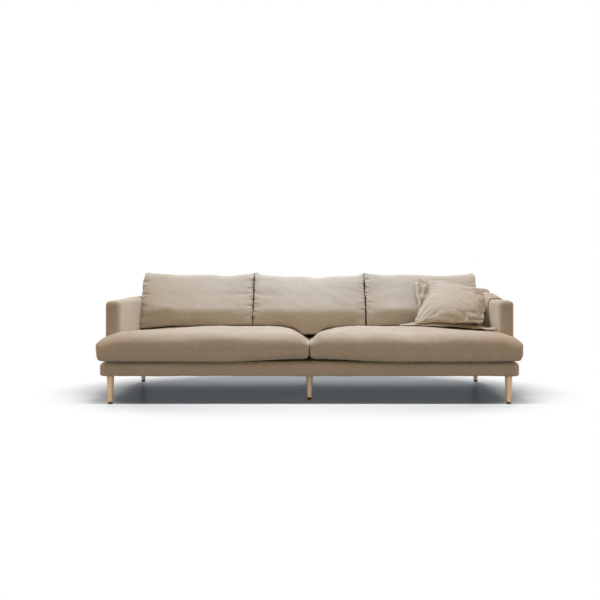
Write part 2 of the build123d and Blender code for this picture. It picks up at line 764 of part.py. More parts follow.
def back_cushion_side():
    """Seen from the side: upright rear, belly low at the front, thinner top."""
    low, high = cushion_bottom, BACK_CUSHION_CORNER
    rear_low, rear_high = rear_plane_y(low), rear_plane_y(high)
    belly_z = low + BELLY_HEIGHT
    belly_y = back_cushion_belly
    brow_y = rear_high - BACK_CUSHION_TOP
    brow = (brow_y + BACK_CUSHION_BROW, high)
    slope = (brow_y - BACK_CUSHION_SLOPE[0], high - BACK_CUSHION_SLOPE[1])
    belly_top = (belly_y, belly_z + BELLY_HALF_HEIGHT)
    belly_foot = (belly_y, belly_z - BELLY_HALF_HEIGHT)
    bend = (belly_y + BELLY_BEND[0], low + BELLY_BEND[1])
    under_y = belly_y + BELLY_UNDER
    under_z = low + seat_fall * (seat_rear_edge - under_y)
    face = outline(
        Line((under_y, under_z), (seat_rear_edge, low)),
        Line((seat_rear_edge, low), (rear_low, low)),
        Line((rear_low, low), (rear_high, high)),
        Line((rear_high, high), brow),
        ThreePointArc(brow, slope, belly_top),
        Line(belly_top, belly_foot),
        ThreePointArc(belly_foot, bend, (under_y, under_z)),
    )
    return round_corner(face, *brow, BACK_CUSHION_TOP_RADIUS)


def back_cushion_front(x0, x1):
    """Seen from the front: the top sags between its corners."""
    low, high = cushion_bottom, BACK_CUSHION_CORNER
    left, right = x0 - PLAN_TRIM, x1 + PLAN_TRIM
    middle = (x0 + x1) / 2
    face = outline(
        Line((left, low), (right, low)),
        Line((right, low), (right, high)),
        ThreePointArc((right, high), (middle, high - BACK_CUSHION_SAG), (left, high)),
        Line((left, high), (left, low)),
    )
    for x in (left, right):
        face = round_corner(face, x, low, BACK_CUSHION_FOOT_CORNER)
        face = round_corner(face, x, high, BACK_CUSHION_TOP_CORNER)
    return face


def back_cushion_plan(x0, x1):
    """Seen from above: the front bulges between the side seams."""
    side_y = back_cushion_belly + BELLY_SIDE
    middle = (x0 + x1) / 2
    return outline(
        ThreePointArc((x0, side_y), (middle, back_cushion_belly + BELLY_BOW), (x1, side_y)),
        Line((x1, side_y), (x1, back_y)),
        Line((x1, back_y), (x0, back_y)),
        Line((x0, back_y), (x0, side_y)),
    )


def back_cushion_swell(x, grow):
    """A back cushion's front and rear, where the views from the side and from above meet."""
    x0, x1 = x - cushion_width / 2, x + cushion_width / 2
    side = extrude(Plane.YZ * swell(back_cushion_side(), grow), BASE_WIDTH, both=True)
    plan = swell(back_cushion_plan(x0, x1), grow)
    return side & extrude(plan, 2 * BACK_CUSHION_CORNER, dir=(0, 0, 1))


def back_cushion(x, inset):
    """A back cushion, or that shape with an even layer taken off."""
    x0, x1 = x - cushion_width / 2, x + cushion_width / 2
    front = extrude(Plane.XZ * swell(back_cushion_front(x0, x1), -inset), SOFA_DEPTH, both=True)
    return back_cushion_swell(x, -inset) & front


def back_cushions():
    """Three loose cushions, each with a zip along the rear of its underside."""
    length = cushion_width - 2 * ZIP_END
    zip_y = rear_plane_y(cushion_bottom) - CLOTH - BACK_ZIP_WIDTH
    for name, x in CUSHIONS.items():
        save(f"back_core_{name}", back_cushion(x, CLOTH + FIT))
        slot = block(
            x - length / 2, x + length / 2, zip_y - BACK_ZIP_WIDTH / 2, zip_y + BACK_ZIP_WIDTH / 2,
            cushion_bottom - 1, cushion_bottom + CLOTH + 1,
        )
        save(f"back_cushion_cover_{name}", back_cushion(x, 0) - back_cushion(x, CLOTH) - slot)
        seat = Pos(x, zip_y, cushion_bottom + CLOTH) * Rot(180, 0, 0)
        save(f"back_zip_{name}", seat * zip_tape(length, BACK_ZIP_WIDTH))
        roof = ZIP_TAPE + ZIP_TEETH_HEIGHT + SLIDER_CLEARANCE
        pull = block(
            -PULL_WIDTH / 2, PULL_WIDTH / 2, -PULL_SHEET / 2, PULL_SHEET / 2, roof, roof + PULL_LENGTH
        )
        slider = Pos(length / 2 - SLIDER_LENGTH, 0, 0) * (zip_slider() + pull)
        save(f"back_zip_slider_{name}", seat * slider)


# ---------------------------------------------------------------- scatter cushion and throw
def vault(length, front, rear):
    """A lens-shaped prism along Y: the swell of a filled cushion across one direction."""
    reach = SCATTER_SIZE / 2
    edge = SCATTER_EDGE / 2
    return extrude(
        Plane.XZ * outline(
            ThreePointArc((-reach, edge), (0, front), (reach, edge)),
            Line((reach, edge), (reach, -edge)),
            ThreePointArc((reach, -edge), (0, -rear), (-reach, -edge)),
            Line((-reach, -edge), (-reach, edge)),
        ),
        length, both=True,
    )


def scatter_cushion(inset):
    front = SCATTER_FRONT_BULGE - inset
    rear = SCATTER_REAR_BULGE - inset
    reach = SCATTER_SIZE / 2 - inset
    sag = SCATTER_SIDE_SAG
    corners = [(-reach, -reach), (reach, -reach), (reach, reach), (-reach, reach)]
    mids = [(0, -reach + sag), (reach - sag, 0), (0, reach - sag), (-reach + sag, 0)]
    sides = [
        ThreePointArc(corners[k], mids[k], corners[(k + 1) % 4]) for k in range(4)
    ]
    plan = extrude(outline(*sides), SCATTER_SIZE, both=True)
    across = vault(SCATTER_SIZE, front, rear)
    pillow = across & (Rot(0, 0, 90) * across) & plan
    middle_y = back_cushion_belly - SCATTER_BEFORE_BACK
    place = Pos(arm_in - SCATTER_SIZE / 2, middle_y, SEAT_CROWN + SCATTER_HEIGHT)
    turn = Rot(0, 0, SCATTER_YAW) * Rot(SCATTER_LEAN, 0, 0) * Rot(0, 0, SCATTER_ROLL)
    return place * turn * pillow


def scatter():
    save("scatter_core", scatter_cushion(CLOTH + FIT))
    save("scatter_cover", scatter_cushion(0) - scatter_cushion(CLOTH))


def throw_on_seat():
    """The part that lies on the seat, with its front hem running aslant."""
    left = arm_in - THROW_SEAT_WIDTH
    right = arm_in - THROW_GAP - THROW / 2
    belly = back_cushion_belly
    reach = make_face(
        Polyline(
            (left, belly - THROW_HEM_LEFT), (right, arm_front + THROW_HEM_RIGHT), (right, belly),
            (left, belly), close=True,
        )
    )
    reach = extrude(Pos(0, 0, SEAT_EAR_TOP) * reach, SEAT_CROWN, dir=(0, 0, 1))
    return (seat_cushion(THROW_GAP + THROW) - seat_cushion(THROW_GAP)) & reach


def throw_on_back():
    """The part that goes straight up to the belly of the back cushion and over its slope."""
    x = CUSHIONS["right"]
    x0, x1 = x - cushion_width / 2, x + cushion_width / 2
    left, right = arm_in - THROW_BACK_FAR, arm_in - THROW_BACK_NEAR
    belly_z = cushion_bottom + BELLY_HEIGHT
    wide = back_cushion_plan(x0, x1)
    band = swell(wide, THROW_GAP + THROW) - swell(wide, THROW_GAP)
    band = extrude(Pos(0, 0, SEAT_EAR_TOP) * band, belly_z - SEAT_EAR_TOP, dir=(0, 0, 1))
    band &= block(left, right, front_y, back_cushion_belly + BACK_CUSHION_BELLY / 2, 0, belly_z)
    slope = back_cushion_swell(x, THROW_GAP + THROW) - back_cushion_swell(x, THROW_GAP)
    slope &= block(left, right, front_y, back_foot, belly_z, BACK_CUSHION_CORNER - THROW_BACK_DROP)
    return band - seat_cushion(THROW_GAP) + slope


def throw_on_arm():
    """The part that goes up the inner face of the arm, over it in a roll, and down outside."""
    inner, outer = arm_in - THROW_GAP, half + THROW_GAP
    spring_line = ARM_TOP - ARM_TOP_RADIUS
    middle = (inner + outer) / 2
    top = ARM_TOP + THROW_ARM_RISE
    hem = spring_line - THROW_ARM_DROP
    profile = outline(
        Line((inner - THROW, SEAT_EAR_TOP), (inner - THROW, spring_line)),
        ThreePointArc(
            (inner - THROW, spring_line), (middle, top + THROW), (outer + THROW, spring_line)
        ),
        Line((outer + THROW, spring_line), (outer + THROW, hem)),
        Line((outer + THROW, hem), (outer, hem)),
        Line((outer, hem), (outer, spring_line)),
        ThreePointArc((outer, spring_line), (middle, top), (inner, spring_line)),
        Line((inner, spring_line), (inner, SEAT_EAR_TOP)),
        Line((inner, SEAT_EAR_TOP), (inner - THROW, SEAT_EAR_TOP)),
    )
    rear = arm_front + THROW_ARM_FRONT + THROW_ARM_WIDTH
    strip = extrude(Plane.XZ.offset(-rear) * profile, THROW_ARM_WIDTH)
    return strip - seat_cushion(THROW_GAP)


def throw():
    save("throw", throw_on_seat() + throw_on_back() + throw_on_arm())


def main():
    base_rails()
    corner_blocks()
    base_foam()
    base_cloth()
    springs()
    leg_set()
    arms()
    back()
    frame_bolts()
    seat_cushions()
    back_cushions()
    scatter()
    throw()


main()
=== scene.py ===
from math import pi, radians

import bmesh
import bpy
import numpy as np
from mathutils import Matrix, Vector
from mathutils.bvhtree import BVHTree


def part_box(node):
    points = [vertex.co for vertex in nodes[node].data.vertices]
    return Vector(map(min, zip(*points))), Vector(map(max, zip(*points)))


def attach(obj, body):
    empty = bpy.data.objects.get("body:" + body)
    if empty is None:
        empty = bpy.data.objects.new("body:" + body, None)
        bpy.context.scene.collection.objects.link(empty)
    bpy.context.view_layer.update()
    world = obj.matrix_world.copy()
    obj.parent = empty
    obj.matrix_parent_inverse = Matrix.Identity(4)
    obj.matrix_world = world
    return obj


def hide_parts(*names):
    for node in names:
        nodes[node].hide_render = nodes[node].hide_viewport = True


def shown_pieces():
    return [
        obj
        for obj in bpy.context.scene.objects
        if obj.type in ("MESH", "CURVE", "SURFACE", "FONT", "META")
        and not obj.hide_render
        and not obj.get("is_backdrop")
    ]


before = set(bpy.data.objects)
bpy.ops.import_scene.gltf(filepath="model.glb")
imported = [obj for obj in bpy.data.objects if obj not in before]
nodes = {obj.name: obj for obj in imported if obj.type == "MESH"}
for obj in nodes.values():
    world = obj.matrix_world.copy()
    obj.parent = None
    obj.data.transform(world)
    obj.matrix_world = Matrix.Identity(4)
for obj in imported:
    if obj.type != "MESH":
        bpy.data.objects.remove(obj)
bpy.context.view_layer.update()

# ------------------------------------------------------------------ timber frame
# Planed softwood rails, posts and corner blocks, glued and screwed, with thin pressed board
# panels on the arms. All of it is upholstered over, so it only shows with the covers off.


def linear(hex_colour):
    """An sRGB hex colour as the linear RGBA that a shader takes."""
    parts = [int(hex_colour[k:k + 2], 16) / 255 for k in (0, 2, 4)]
    return [c / 12.92 if c <= 0.04045 else ((c + 0.055) / 1.055) ** 2.4 for c in parts] + [1.0]


def add(mat, kind, inputs=None, stops=(), **settings):
    """Adds a node with its settings, sets or links its inputs, and gives its outputs. The stops
    are the (position, hex colour) pairs of a colour ramp."""
    node = mat.node_tree.nodes.new("ShaderNode" + kind)
    for name, value in settings.items():
        setattr(node, name, value)
    for name, value in (inputs or {}).items():
        if isinstance(value, bpy.types.NodeSocket):
            mat.node_tree.links.new(value, node.inputs[name])
        else:
            node.inputs[name].default_value = value
    for _ in stops[2:]:
        node.color_ramp.elements.new(0.5)
    for k, (position, colour) in enumerate(stops):
        node.color_ramp.elements[k].position = position
        node.color_ramp.elements[k].color = linear(colour)
    return node.outputs


def begin(name, blot, detail=2.0):
    """An empty material, and a noise whose blots have the given size in metres along X, Y and Z."""
    mat = bpy.data.materials.new(name)
    mat.use_nodes = True
    mat.node_tree.nodes.clear()
    place = add(mat, "TexCoord")["Object"]
    spot = add(mat, "Mapping", {"Vector": place, "Scale": [1 / size for size in blot]})[0]
    return mat, add(mat, "TexNoise", {"Vector": spot, "Scale": 1.0, "Detail": detail})["Fac"]


def close(mat, colour, roughness, height, depth, **sockets):
    """Ends a material in its shader, with a relief of the given depth in metres."""
    relief = add(mat, "Bump", {"Height": height, "Distance": depth, "Strength": 1.0})["Normal"]
    inputs = {"Base Color": colour, "Roughness": roughness, "Normal": relief}
    inputs.update({name.replace("_", " "): value for name, value in sockets.items()})
    shader = add(mat, "BsdfPrincipled", inputs)["BSDF"]
    add(mat, "OutputMaterial", {"Surface": shader})
    return mat


def paint(material, *names):
    """Gives CAD nodes a material."""
    for name in names:
        mesh = nodes[name].data
        mesh.materials.clear()
        mesh.materials.append(material)


# Planed pine: growth bands 6 mm apart along the rail, on a pale yellow ground, left bare.
mat, bands = begin("planed_pine", (0.25, 0.006, 0.006), 3.0)
wood = add(mat, "ValToRGB", {"Fac": bands}, ((0.25, "C9A46F"), (0.55, "E0C592"), (0.8, "D4B27C")))[0]
planed_pine = close(mat, wood, 0.62, bands, 0.0003)
paint(
    planed_pine, "base_front_rail", "base_back_rail", "base_side_rail_left", "base_side_rail_right",
    "base_centre_rail", "corner_blocks", "arm_frame_left", "arm_frame_right", "back_rails",
    "back_uprights",
)

# Hardboard: brown pressed fibre, mottled at about 4 mm and slightly waxy.
mat, fibres = begin("hardboard", (0.004, 0.004, 0.004), 4.0)
board = add(mat, "ValToRGB", {"Fac": fibres}, ((0.3, "5E4430"), (0.7, "7A5B40")))[0]
hardboard = close(mat, board, 0.55, fibres, 0.0001)
paint(hardboard, "arm_boards")

# ------------------------------------------------------------------ springs, clips and bolts
# Blued zigzag wire clipped to the rails, brown elastic webbing stapled across the back, and
# zinc-plated plates, screws, bolts and nuts.

# Blued spring wire: near-black oxide over drawn steel, with faint draw marks 1.5 mm apart.
mat, marks = begin("blued_spring_wire", (0.0015, 0.05, 0.0015))
oxide = add(mat, "ValToRGB", {"Fac": marks}, ((0.3, "23252B"), (0.7, "3A3D45")))[0]
spring_wire = close(mat, oxide, 0.38, marks, 0.00002, Metallic=1.0)
paint(spring_wire, "seat_springs")

# Zinc plate: a pale, slightly blue passivated steel with 8 mm clouding.
mat, clouds = begin("zinc_plate", (0.008, 0.008, 0.008), 3.0)
zinc = add(mat, "ValToRGB", {"Fac": clouds}, ((0.3, "B4B8BA"), (0.7, "D2D5D6")))[0]
zinc_plate = close(mat, zinc, 0.34, clouds, 0.00002, Metallic=1.0)
paint(zinc_plate, "spring_clips", "frame_bolts", "leg_plates", "leg_plate_screws", "leg_bolts")

# Elastic webbing: brown and cream yarns in ribs about 3 mm apart.
mat, ribs = begin("elastic_webbing", (0.003, 0.02, 0.003), 1.0)
yarns = add(mat, "ValToRGB", {"Fac": ribs}, ((0.35, "3B332A"), (0.65, "8A7A62")))[0]
webbing = close(mat, yarns, 0.85, ribs, 0.0004)
paint(webbing, "back_webbing")

# ------------------------------------------------------------------ foam and deck
# Cut polyether foam on the rails, arms and back and in the pad over the springs, and a black
# spun dust cloth stapled underneath.

# Cut foam: open cells about 1.5 mm across, yellowish white and dead matt.
mat, cells = begin("cut_foam", (0.0015, 0.0015, 0.0015), 1.0)
foam = add(mat, "ValToRGB", {"Fac": cells}, ((0.35, "CFC6A4"), (0.6, "EDE6C8")))[0]
cut_foam = close(mat, foam, 0.95, cells, 0.0006)
paint(cut_foam, "base_foam", "arm_foam_left", "arm_foam_right", "back_foam", "deck_pad")

# Spun polypropylene: black, with pressed dots drawn 3 mm apart and a faint sheen.
mat, dots = begin("spun_dust_cloth", (0.003, 0.003, 0.003), 1.0)
fleece = add(mat, "ValToRGB", {"Fac": dots}, ((0.4, "161616"), (0.6, "252525")))[0]
dust_cloth = close(mat, fleece, 0.8, dots, 0.0003, Sheen_Weight=0.2)
paint(dust_cloth, "dust_cover")

# ------------------------------------------------------------------ legs
# Six turned beech legs, wider at the top, each on a black moulded glide and screwed up into a
# zinc plate and a corner block.

# Matt lacquered beech: grain drawn out to 90 mm, with darker ray flecks 4 mm long.
mat, grain = begin("lacquered_beech", (0.0045, 0.0045, 0.09), 3.0)
place = add(mat, "TexCoord")["Object"]
fleck = add(mat, "Mapping", {"Vector": place, "Scale": (1 / 0.0012, 1 / 0.0012, 1 / 0.004)})[0]
flecks = add(mat, "TexNoise", {"Vector": fleck, "Scale": 1.0, "Detail": 1.0})["Fac"]
wood = add(mat, "ValToRGB", {"Fac": grain}, ((0.28, "D0A77A"), (0.52, "E0BE94"), (0.78, "EBD0AB")))[0]
rays = add(mat, "ValToRGB", {"Fac": flecks}, ((0.30, "C9A27C"), (0.42, "FFFFFF")))[0]
flecked = add(mat, "Mix", {0: 0.5, 6: wood, 7: rays}, data_type="RGBA", blend_type="MULTIPLY")[2]
beech = close(mat, flecked, 0.42, grain, 0.0001, Coat_Weight=0.15, Coat_Roughness=0.3)
LEGS = [f"leg_{row}_{side}" for row in ("front", "back") for side in ("left", "centre", "right")]
paint(beech, *LEGS)

# Moulded nylon: near-black, finely textured at 1 mm.
mat, texture = begin("moulded_nylon", (0.001, 0.001, 0.001), 1.0)
black = add(mat, "ValToRGB", {"Fac": texture}, ((0.3, "1B1917"), (0.7, "2C2A28")))[0]
nylon = close(mat, black, 0.5, texture, 0.00005)
paint(nylon, "leg_glides")

# ------------------------------------------------------------------ base border
# A padded band of linen round the base: drawn over a rounded top edge and under the rails, and
# stapled on both. It is cut in four lengths, sewn at the corners.


def linen_weave(name, shades, pitch, slub, sheen):
    """Plain weave: two sets of uneven flax yarns, so that slubs show as fine crossing streaks.
    shades are the dark, middle and light yarn, pitch the drawn thread spacing and slub the
    length of a thick place, in metres."""
    mat, clouds = begin(name, (0.16, 0.16, 0.16), 3.0)
    axes = add(mat, "SeparateXYZ", {"Vector": add(mat, "TexCoord")["Object"]})
    facing = add(mat, "SeparateXYZ", {"Vector": add(mat, "NewGeometry")["Normal"]})
    turn = add(mat, "Math", {0: facing["X"]}, operation="ABSOLUTE")[0]
    sideways = add(mat, "Math", {0: turn, 1: 0.72}, operation="GREATER_THAN")[0]
    fall = add(mat, "Math", {0: axes["Y"], 1: axes["Z"]}, operation="ADD")[0]
    weft = add(mat, "Mix", {0: sideways, 2: axes["X"], 3: axes["Y"]})[0]
    warp = add(mat, "Mix", {0: sideways, 2: fall, 3: axes["Z"]})[0]
    cloth = add(mat, "CombineXYZ", {"X": weft, "Y": warp})[0]
    slubs = []
    for along, across in ((slub, pitch * 1.6), (pitch * 1.6, slub)):
        spot = add(mat, "Mapping", {"Vector": cloth, "Scale": (1 / along, 1 / across, 1.0)})[0]
        slubs.append(add(mat, "TexNoise", {"Vector": spot, "Scale": 1.0, "Detail": 2.0})["Fac"])
    yarn = add(mat, "Math", {0: slubs[0], 1: slubs[1]}, operation="ADD")[0]
    yarn = add(mat, "Math", {0: yarn, 1: 0.5}, operation="MULTIPLY")[0]
    yarn = add(mat, "Mix", {0: 0.22, 2: yarn, 3: clouds})[0]
    dark, middle, light = shades
    flax = add(mat, "ValToRGB", {"Fac": yarn}, ((0.36, dark), (0.5, middle), (0.64, light)))[0]
    waves = []
    for line in (weft, warp):
        step = add(mat, "Math", {0: line, 1: pi / pitch}, operation="MULTIPLY")[0]
        waves.append(add(mat, "Math", {0: step}, operation="SINE")[0])
    cross = add(mat, "Math", {0: waves[0], 1: waves[1]}, operation="MULTIPLY")[0]
    height = add(mat, "Math", {0: cross, 1: 0.3, 2: yarn}, operation="MULTIPLY_ADD")[0]
    return close(
        mat, flax, 0.93, height, 0.0006, Sheen_Weight=sheen, Sheen_Roughness=0.55,
        Sheen_Tint=linear("FFF6EA"),
    )


# Washed linen: sand yarns about 0.9 mm apart, too fine to show, so drawn 2.6 mm apart.
washed_linen = linen_weave("washed_linen", ("BFB29F", "C9BEAC", "D2C9B9"), 0.0026, 0.05, 0.12)


def outer_shape(name, node, voxel, smooth, hull=False):
    """A new piece on a CAD node's outer shape, in even quads of about the voxel's size."""
    shape = bmesh.new()
    if hull:
        for point in nodes[node].data.vertices:
            shape.verts.new(point.co)
        bmesh.ops.convex_hull(shape, input=shape.verts[:])
        spare = [v for v in shape.verts if not v.link_faces]
        bmesh.ops.delete(shape, geom=spare, context="VERTS")
    else:
        shape.from_mesh(nodes[node].data)
        bmesh.ops.remove_doubles(shape, verts=shape.verts, dist=1e-5)
    mesh = bpy.data.meshes.new(name)
    shape.to_mesh(mesh)
    shape.free()
    piece = new_piece(name, mesh)
    remesh(piece, voxel, smooth)
    return piece


def new_piece(name, mesh):
    """Puts a mesh in the scene."""
    piece = bpy.data.objects.new(name, mesh)
    bpy.context.scene.collection.objects.link(piece)
    return piece


def remesh(piece, voxel, smooth):
    """Makes a closed mesh over in even quads, and smooths it."""
    even = piece.modifiers.new("Even", "REMESH")
    even.mode = "VOXEL"
    even.voxel_size = voxel
    soft = piece.modifiers.new("Soft", "SMOOTH")
    soft.iterations = smooth
    settle(piece)


def settle(piece):
    """Applies a piece's modifiers."""
    graph = bpy.context.evaluated_depsgraph_get()
    mesh = bpy.data.meshes.new_from_object(piece.evaluated_get(graph))
    piece.modifiers.clear()
    piece.data = mesh


def points_of(piece):
    """The points of a mesh, and the directions that they face."""
    mesh = piece.data
    flat = np.empty(len(mesh.vertices) * 3, np.float32)
    mesh.vertices.foreach_get("co", flat)
    facing = np.empty(len(mesh.vertices) * 3, np.float32)
    mesh.vertex_normals.foreach_get("vector", facing)
    return flat.reshape(-1, 3).astype(float), facing.reshape(-1, 3).astype(float)


def move_points(piece, points):
    piece.data.vertices.foreach_set("co", points.astype(np.float32).ravel())
    piece.data.update()


def ripple(points, size, seed):
    """A smooth random field with swells of about the given size, between about -1 and 1."""
    random = np.random.default_rng(seed)
    waves = random.normal(size=(16, 3)) * (2.2 / size)
    starts = random.uniform(0, 2 * pi, 16)
    return np.sin(points @ waves.T + starts).sum(axis=1) / 4


def ramp(value, start, end):
    """0 before start, 1 after end, and smooth between."""
    share = np.clip((value - start) / (end - start), 0, 1)
    return share * share * (3 - 2 * share)


def dress(piece, material, body, stands_for=()):
    """Gives a soft piece its cloth and its body, and hides the CAD nodes that it stands for."""
    piece.data.materials.clear()
    piece.data.materials.append(material)
    piece.data.shade_smooth()
    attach(piece, body)
    if stands_for:
        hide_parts(*stands_for)


TOP_TURN_IN = 0.1  # the cloth comes in over the rails by this much
UNDER_TURN_IN = 0.08
BORDER_PULL = 0.006  # the seat cushions press its top edge down
border = outer_shape("base_border", "base_cover", 0.006, 2, hull=True)
low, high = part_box("base_cover")
shape = bmesh.new()
shape.from_mesh(border.data)
inner = []
for face in shape.faces:
    spot = face.calc_center_median()
    turn_in = TOP_TURN_IN if spot.z > (low.z + high.z) / 2 else UNDER_TURN_IN
    inside_x = low.x + turn_in < spot.x < high.x - turn_in
    inside_y = low.y + turn_in < spot.y < high.y - turn_in
    if inside_x and inside_y:
        inner.append(face)
bmesh.ops.delete(shape, geom=inner, context="FACES")
shape.to_mesh(border.data)
shape.free()
points, facing = points_of(border)
swell = 0.0012 * ripple(points * [1, 1, 0.3], 0.3, 3) + 0.0006 * ripple(points, 0.05, 4) + 0.0025
points[:, 0] *= 1.005
points += facing * swell[:, None]
points[:, 2] -= BORDER_PULL * ramp(points[:, 2], high.z - 0.03, high.z)
move_points(border, points)
thick = border.modifiers.new("Cloth", "SOLIDIFY")
thick.thickness = 0.0018
settle(border)
dress(border, washed_linen, "frame", ["base_cover"])

# ------------------------------------------------------------------ arms
# Thin arms: a timber and board frame wrapped in foam, under a fitted linen cover sewn from an
# inner, an outer and a narrow front panel.
for side in ("left", "right"):
    arm = outer_shape(f"arm_upholstery_{side}", f"arm_cover_{side}", 0.006, 4, hull=True)
    points, facing = points_of(arm)
    points[:, 0] *= 1 + 0.003 * ramp(np.abs(points[:, 0]), 1.17, 1.25)
    swell = 0.0016 * ripple(points, 0.22, 11) + 0.0005 * ripple(points, 0.035, 12) + 0.003
    move_points(arm, points + facing * swell[:, None])
    dress(arm, washed_linen, "frame", [f"arm_cover_{side}"])

# ------------------------------------------------------------------ back
# A low padded back between the arms: foam over webbing, in one linen cover, plain behind.
back = outer_shape("back_upholstery", "back_cover", 0.008, 3, hull=True)
points, facing = points_of(back)
swell = 0.0014 * ripple(points, 0.25, 21) + 0.0005 * ripple(points, 0.04, 22) + 0.0035
move_points(back, points + facing * swell[:, None])
dress(back, washed_linen, "frame", ["back_cover"])

# ------------------------------------------------------------------ deck cloth
# Platform cloth of the same linen, stretched over the pad from behind its front edge.
paint(washed_linen, "deck_cloth")

# ------------------------------------------------------------------ seat cushions
# Two deep T-shaped cushions of foam in a fibre wrap. Each cover has a top, a base and a boxing
# strip, with a zip at the rear. The crown is full, and the front edge rolls and droops a little.
COVER = 0.0023  # from the CAD pad out to the cover
ROLL_DEPTH = 0.1  # from the front face back to where the roll starts
ROLL_LOW = 0.095  # from the underside up to where the front face turns over
ROLL_TOP = 0.165  # from the underside up to the top of the roll
JOINT_RISE = 0.02  # the lower front edge: up at the middle joint,
MIDDLE_DROOP = 0.003  # and down between its ends
SHOULDER_FALL = 0.03  # the top falls away to the middle joint in a broad slope,
JOINT_FALL = 0.032  # and again in a short one beside it
REAR_PRESS = 0.012  # the back cushions press the rear down,
ARM_PRESS = 0.008  # and a little more beside the arm
DOWN = Vector((0, 0, -1))


def surface(piece):
    """A piece's surface, to measure on."""
    mesh = piece.data
    return BVHTree.FromPolygons([v.co for v in mesh.vertices], [f.vertices for f in mesh.polygons])


def mound(value, middle, width):
    """1 at the middle, about a third at this width from it, and 0 far away."""
    return np.exp(-((value - middle) / width) ** 2)


def reshape_corner(inset, depth, size, before, after):
    """Moves the points round an edge, from one roundness to another: 2 is a quarter circle, and
    more is squarer. inset and depth are the distances in from the two faces that meet there."""
    u = np.clip(1 - inset / size, 1e-6, None)
    v = np.clip(1 - depth / size, 1e-6, None)
    turn = (u ** before + v ** before) ** (1 / before) / (u ** after + v ** after) ** (1 / after)
    return size * u * (1 - turn), size * v * (1 - turn)


for side, mirror in (("left", -1), ("right", 1)):
    seat = outer_shape(f"seat_cushion_{side}", f"seat_core_{side}", 0.007, 3)
    points, facing = points_of(seat)
    low, high = points.min(axis=0), points.max(axis=0)
    along = points[:, 0] * mirror  # from the middle joint towards the arm
    length = (high - low)[0]
    front, floor = low[1], low[2]
    points += facing * COVER

    # The lower front edge: up at the middle joint, down over the long middle.
    edge = ramp(points[:, 1], front + 0.13, front + 0.01) * ramp(points[:, 2], floor + 0.1, floor)
    droop = JOINT_RISE * (1 - ramp(along, 0, 0.4 * length))
    droop -= MIDDLE_DROOP * np.sin(np.clip(along / length, 0, 1) * pi)
    points[:, 2] += edge * droop

    # The top: broad swells, and a front roll that wavers.
    over = ramp(facing[:, 2], 0.2, 0.8)
    rolled = ramp(points[:, 1], front + 0.24, front + 0.02)
    rolled *= ramp(points[:, 2], floor + 0.04, floor + 0.12)
    swell = 0.003 * over * ripple(points, 0.32, 31 + mirror)
    swell += 0.0016 * rolled * ripple(points * [1, 0.35, 0.35], 0.1, 33 + mirror)
    swell += 0.0008 * ripple(points, 0.03, 35 + mirror)
    points += facing * swell[:, None]

    # The front stays full and rolls over in one broad curve, and is tight at the boxing seam.
    line = np.linspace(front + 0.002, front + 0.29, 60)
    skin = surface(seat)
    middle = mirror * length / 2
    crown = [skin.ray_cast(Vector((middle, y, 1)), DOWN)[0].z for y in line]
    turned = 1 - np.clip((line - front) / ROLL_DEPTH, 0, 1)
    full = floor + ROLL_LOW + (ROLL_TOP - ROLL_LOW) * np.sqrt(1 - turned ** 2)
    behind = line > front + ROLL_DEPTH
    ends = [front + ROLL_DEPTH, line[-1]]
    full[behind] = np.interp(line[behind], ends, [floor + ROLL_TOP, crown[-1]])
    reached = np.interp(points[:, 1], line, crown)
    lift = np.interp(points[:, 1], line, full - crown) * ramp(along, length, length - 0.16)
    points[:, 2] += lift * ramp(points[:, 2], floor + 0.03, reached - 0.002)
    into, up = reshape_corner(points[:, 1] - front, points[:, 2] - floor, 0.022, 2, 8)
    points[:, 1] += into
    points[:, 2] += up

    # The shoulders fall away to the middle joint, and the back cushions press the rear down.
    shoulder = SHOULDER_FALL * mound(along, 0, 0.15)
    shoulder *= ramp(points[:, 1], front + 0.08, front + 0.26)
    shoulder += JOINT_FALL * mound(along, 0, 0.035)
    points[:, 2] -= shoulder * ramp(points[:, 2], floor + 0.05, floor + 0.16)
    pressed = REAR_PRESS + ARM_PRESS * ramp(along, 0.75, 1.12)
    pressed *= ramp(points[:, 1], -0.16, 0.08)
    points[:, 2] -= pressed * ramp(points[:, 2], floor + 0.05, floor + 0.13)
    move_points(seat, points)
    dress(
        seat, washed_linen, f"seat_cushion_{side}",
        [f"seat_core_{side}", f"seat_cover_{side}"],
    )

# ------------------------------------------------------------------ back cushions
# Three loose fibre-filled cushions with boxed sides. Their cloth is fuller than the boxing, so
# it is gathered along the side seams. The top sags between pointed corners, and the belly hangs
# over the seat.
GATHER_STEP = 0.021  # between the gathers of a seam


def creases(along, across, places, reach, depth, width, seed):
    """Small folds that run in from a gathered seam: along it, and across from it, in metres."""
    random = np.random.default_rng(seed)
    total = np.zeros(len(along))
    for place in places:
        length = reach * random.uniform(0.35, 1.25)
        slope = random.uniform(-0.3, 0.3)
        span = width * random.uniform(0.7, 1.3) * (1 + across / length)
        offset = along - place - random.uniform(-0.006, 0.006) - slope * across
        deep = depth * random.uniform(0.4, 1.2)
        total -= deep * mound(offset, 0, span) * mound(across, 0, length)
    return total


def rounded_loop(corners):
    """A closed loop that rounds the corners of a polygon, by cutting them again and again."""
    loop = np.array(corners, float)
    for _ in range(4):
        ahead = np.roll(loop, -1, axis=0)
        loop = np.stack([0.75 * loop + 0.25 * ahead, 0.25 * loop + 0.75 * ahead], axis=1)
        loop = loop.reshape(-1, loop.shape[-1])
    return loop


